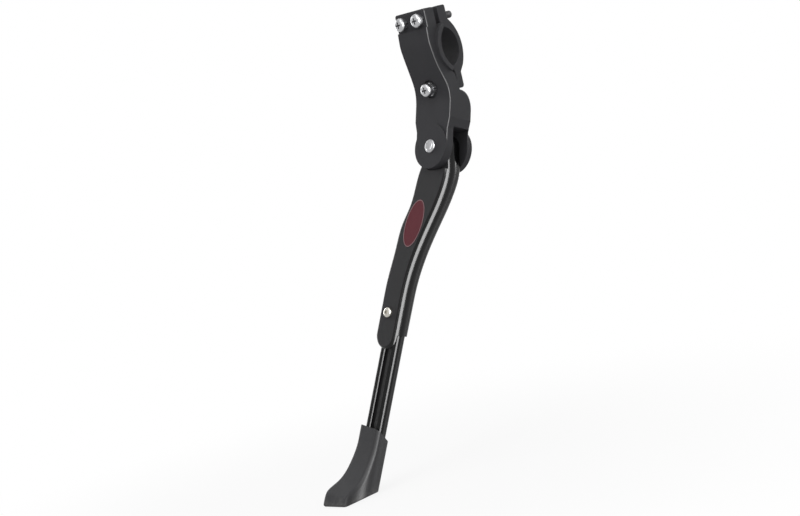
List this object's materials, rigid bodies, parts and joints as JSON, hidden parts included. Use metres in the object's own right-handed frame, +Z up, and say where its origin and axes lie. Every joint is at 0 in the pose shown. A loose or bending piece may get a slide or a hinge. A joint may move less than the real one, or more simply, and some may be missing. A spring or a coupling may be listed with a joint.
{
  "type": "bicycle kickstand",
  "caption": "Side-mounted bicycle kickstand: a clamp grips the stay, a spring-held leg swings back on a pivot pin, and a screw-locked bar with a rubber foot sets its length.",
  "frame": {"origin": "middle of the opening that grips the stay", "axes": "+X rearwards along the stay, +Y in towards the wheel, +Z up; the screws face -Y"},
  "size_m": [0.1, 0.1426, 0.3228],
  "materials": {
    "bracket_coat": "satin black powder coat on cast alloy",
    "leg_coat": "black coat, satin on the face and gloss on the sides",
    "bar_coat": "gloss black",
    "liner_rubber": "matte dark grey",
    "foot_rubber": "matte grey-black",
    "zinc": "bright zinc plate",
    "lock_steel": "bright plated steel",
    "pin_steel": "satin, peened at the front",
    "spring_steel": "bright drawn wire",
    "badge_enamel": "dull maroon enamel with a pale rim"
  },
  "bodies": {
    "bracket": {"bracket": "bracket_coat", "stay_liner": "liner_rubber", "clamp_bolts": "zinc", "bolt_washers": "zinc", "tail_screw": "zinc", "tail_washer": "zinc", "pivot_pin": "pin_steel", "detent_spring": "spring_steel"},
    "clamp": {"clamp_plate": "bracket_coat"},
    "detent": {"detent_plunger": "pin_steel"},
    "leg": {"leg": "leg_coat", "oval_badge": "badge_enamel", "lock_screw": "lock_steel"},
    "extension": {"extension_bar": "bar_coat", "rubber_foot": "foot_rubber"}
  },
  "joints": [
    {"name": "clamp_slide", "type": "slide", "parent": "bracket", "child": "clamp", "axis": [0, 1, 0], "range_m": [0, 0.005]},
    {"name": "leg_swing", "type": "hinge", "parent": "bracket", "child": "leg", "pos_m": [0, -0.0113, -0.0689], "axis": [0, -0.9336, 0.3584], "range_deg": [0, 90]},
    {"name": "bar_slide", "type": "slide", "parent": "leg", "child": "extension", "axis": [-0.225, -0.3492, -0.9097], "range_m": [-0.014, 0.018]},
    {"name": "detent_press", "type": "slide", "parent": "bracket", "child": "detent", "axis": [0, 0.3584, 0.9336], "range_m": [0, 0.0015], "stiffness_N_per_m": 1500, "springref_m": -0.002, "deforming": ["detent_spring"]}
  ]
}
